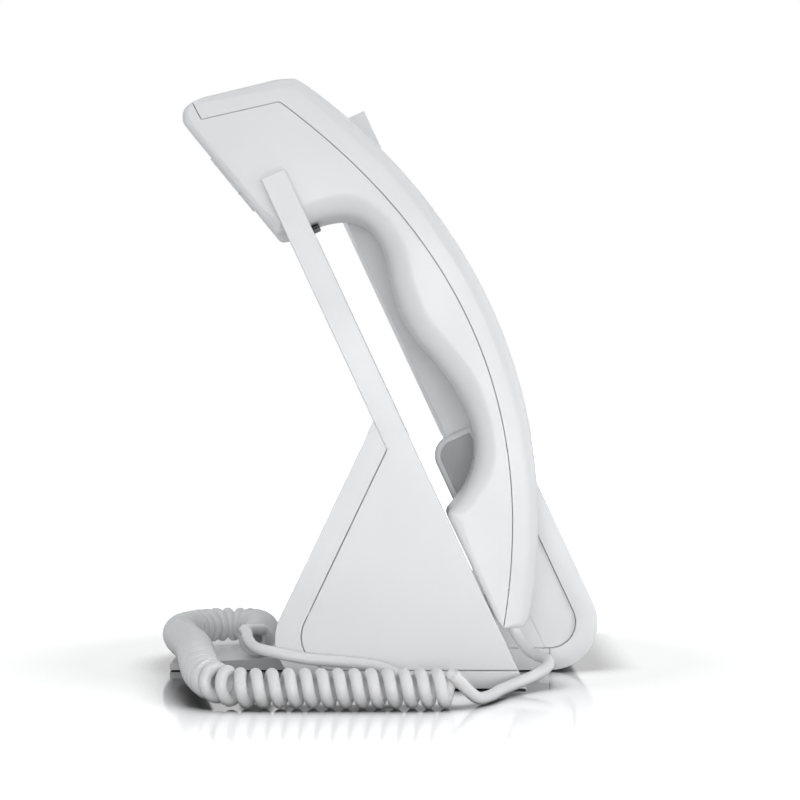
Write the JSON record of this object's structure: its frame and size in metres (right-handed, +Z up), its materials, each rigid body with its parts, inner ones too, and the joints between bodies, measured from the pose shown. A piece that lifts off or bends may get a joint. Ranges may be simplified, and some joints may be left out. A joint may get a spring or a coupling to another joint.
{
  "type": "corded desk telephone",
  "caption": "White corded desk telephone: leaning console on a thin base, slanted holder arm with a lift-off curved handset and a coiled cord.",
  "frame": {"origin": "on the desk, at the middle of the telephone's width and of the base plate's depth", "axes": "+X to the user's right, -Y towards the user, +Z up"},
  "size_m": [0.2737, 0.1669, 0.2178],
  "materials": {
    "console_white": "satin, smooth moulded",
    "holder_white": "satin, smooth moulded",
    "handset_white": "satin, smooth moulded",
    "cord_white": "soft gloss sheath",
    "key_grey": "fine matt",
    "pad_grey": "soft matt",
    "hook_black": "matt",
    "socket_black": "matt",
    "speaker_black": "matt",
    "display_dark": "dark reflective",
    "window_glass": "clear polished",
    "lamp_red": "frosted",
    "plug_clear": "translucent",
    "mat_silicone": "matt",
    "board_green": "solder mask",
    "ballast_steel": "plain",
    "screw_steel": "plain",
    "foot_rubber": "matt"
  },
  "bodies": {
    "base": {"console_front": "console_white", "console_back": "console_white", "base_plate": "console_white", "console_gusset": "console_white", "ballast_plate": "ballast_steel", "rubber_feet": "foot_rubber", "case_screws": "screw_steel", "tie_screws": "screw_steel", "display_window": "window_glass", "display_module": "display_dark", "main_board": "board_green", "keypad_mat": "mat_silicone", "loudspeaker": "speaker_black", "message_lamp": "lamp_red", "network_socket": "socket_black", "side_guide": "console_white", "guide_pad": "pad_grey", "holder_wrap": "holder_white", "holder_left_cover": "holder_white", "holder_right_cover": "holder_white", "cradle_plate": "holder_white", "mouth_pad": "pad_grey", "hook_switch": "socket_black", "cord_socket": "socket_black", "cord_plug": "plug_clear", "coiled_cord": "cord_white"},
    "handset": {"handset_back": "handset_white", "handset_front": "handset_white", "handset_screws": "screw_steel", "receiver_capsule": "speaker_black", "microphone": "speaker_black", "handset_weight": "ballast_steel", "handset_board": "board_green", "handset_plug": "plug_clear"},
    "hook": {"hook_lever": "hook_black"},
    "key_1_body": {"key_1": "key_grey"},
    "key_2_body": {"key_2": "key_grey"},
    "key_3_body": {"key_3": "key_grey"},
    "key_4_body": {"key_4": "key_grey"},
    "key_5_body": {"key_5": "key_grey"},
    "key_6_body": {"key_6": "key_grey"},
    "key_7_body": {"key_7": "key_grey"},
    "key_8_body": {"key_8": "key_grey"},
    "key_9_body": {"key_9": "key_grey"},
    "key_star_body": {"key_star": "key_grey"},
    "key_0_body": {"key_0": "key_grey"},
    "key_hash_body": {"key_hash": "key_grey"},
    "soft_key_1_body": {"soft_key_1": "key_grey"},
    "soft_key_2_body": {"soft_key_2": "key_grey"},
    "soft_key_3_body": {"soft_key_3": "key_grey"},
    "soft_key_4_body": {"soft_key_4": "key_grey"},
    "speaker_key_body": {"speaker_key": "key_grey"},
    "mute_key_body": {"mute_key": "key_grey"},
    "volume_body": {"volume_rocker": "key_grey"}
  },
  "joints": [
    {"name": "handset_lift", "type": "slide", "parent": "base", "child": "handset", "axis": [0, 0, 1], "range_m": [0, 0.08]},
    {"name": "hook_travel", "type": "slide", "parent": "base", "child": "hook", "axis": [0, 0.4226, 0.9063], "range_m": [0, 0.0025]},
    {"name": "key_1_press", "type": "slide", "parent": "base", "child": "key_1_body", "axis": [0, 0.9063, -0.4226], "range_m": [0, 0.0012], "stiffness_N_per_m": 400},
    {"name": "key_2_press", "type": "slide", "parent": "base", "child": "key_2_body", "axis": [0, 0.9063, -0.4226], "range_m": [0, 0.0012], "stiffness_N_per_m": 400},
    {"name": "key_3_press", "type": "slide", "parent": "base", "child": "key_3_body", "axis": [0, 0.9063, -0.4226], "range_m": [0, 0.0012], "stiffness_N_per_m": 400},
    {"name": "key_4_press", "type": "slide", "parent": "base", "child": "key_4_body", "axis": [0, 0.9063, -0.4226], "range_m": [0, 0.0012], "stiffness_N_per_m": 400},
    {"name": "key_5_press", "type": "slide", "parent": "base", "child": "key_5_body", "axis": [0, 0.9063, -0.4226], "range_m": [0, 0.0012], "stiffness_N_per_m": 400},
    {"name": "key_6_press", "type": "slide", "parent": "base", "child": "key_6_body", "axis": [0, 0.9063, -0.4226], "range_m": [0, 0.0012], "stiffness_N_per_m": 400},
    {"name": "key_7_press", "type": "slide", "parent": "base", "child": "key_7_body", "axis": [0, 0.9063, -0.4226], "range_m": [0, 0.0012], "stiffness_N_per_m": 400},
    {"name": "key_8_press", "type": "slide", "parent": "base", "child": "key_8_body", "axis": [0, 0.9063, -0.4226], "range_m": [0, 0.0012], "stiffness_N_per_m": 400},
    {"name": "key_9_press", "type": "slide", "parent": "base", "child": "key_9_body", "axis": [0, 0.9063, -0.4226], "range_m": [0, 0.0012], "stiffness_N_per_m": 400},
    {"name": "key_star_press", "type": "slide", "parent": "base", "child": "key_star_body", "axis": [0, 0.9063, -0.4226], "range_m": [0, 0.0012], "stiffness_N_per_m": 400},
    {"name": "key_0_press", "type": "slide", "parent": "base", "child": "key_0_body", "axis": [0, 0.9063, -0.4226], "range_m": [0, 0.0012], "stiffness_N_per_m": 400},
    {"name": "key_hash_press", "type": "slide", "parent": "base", "child": "key_hash_body", "axis": [0, 0.9063, -0.4226], "range_m": [0, 0.0012], "stiffness_N_per_m": 400},
    {"name": "soft_key_1_press", "type": "slide", "parent": "base", "child": "soft_key_1_body", "axis": [0, 0.9063, -0.4226], "range_m": [0, 0.0012], "stiffness_N_per_m": 400},
    {"name": "soft_key_2_press", "type": "slide", "parent": "base", "child": "soft_key_2_body", "axis": [0, 0.9063, -0.4226], "range_m": [0, 0.0012], "stiffness_N_per_m": 400},
    {"name": "soft_key_3_press", "type": "slide", "parent": "base", "child": "soft_key_3_body", "axis": [0, 0.9063, -0.4226], "range_m": [0, 0.0012], "stiffness_N_per_m": 400},
    {"name": "soft_key_4_press", "type": "slide", "parent": "base", "child": "soft_key_4_body", "axis": [0, 0.9063, -0.4226], "range_m": [0, 0.0012], "stiffness_N_per_m": 400},
    {"name": "speaker_key_press", "type": "slide", "parent": "base", "child": "speaker_key_body", "axis": [0, 0.9063, -0.4226], "range_m": [0, 0.0012], "stiffness_N_per_m": 400},
    {"name": "mute_key_press", "type": "slide", "parent": "base", "child": "mute_key_body", "axis": [0, 0.9063, -0.4226], "range_m": [0, 0.0012], "stiffness_N_per_m": 400},
    {"name": "volume_tilt", "type": "hinge", "parent": "base", "child": "volume_body", "pos_m": [0.0675, -0.03918, 0.10433], "axis": [0, 0.4226, 0.9063], "range_deg": [-2, 2], "stiffness_Nm_per_rad": 0.05}
  ],
  "couplings": [
    {"joint": "hook_travel", "follows": "handset_lift", "ratio": 0.03125}
  ]
}
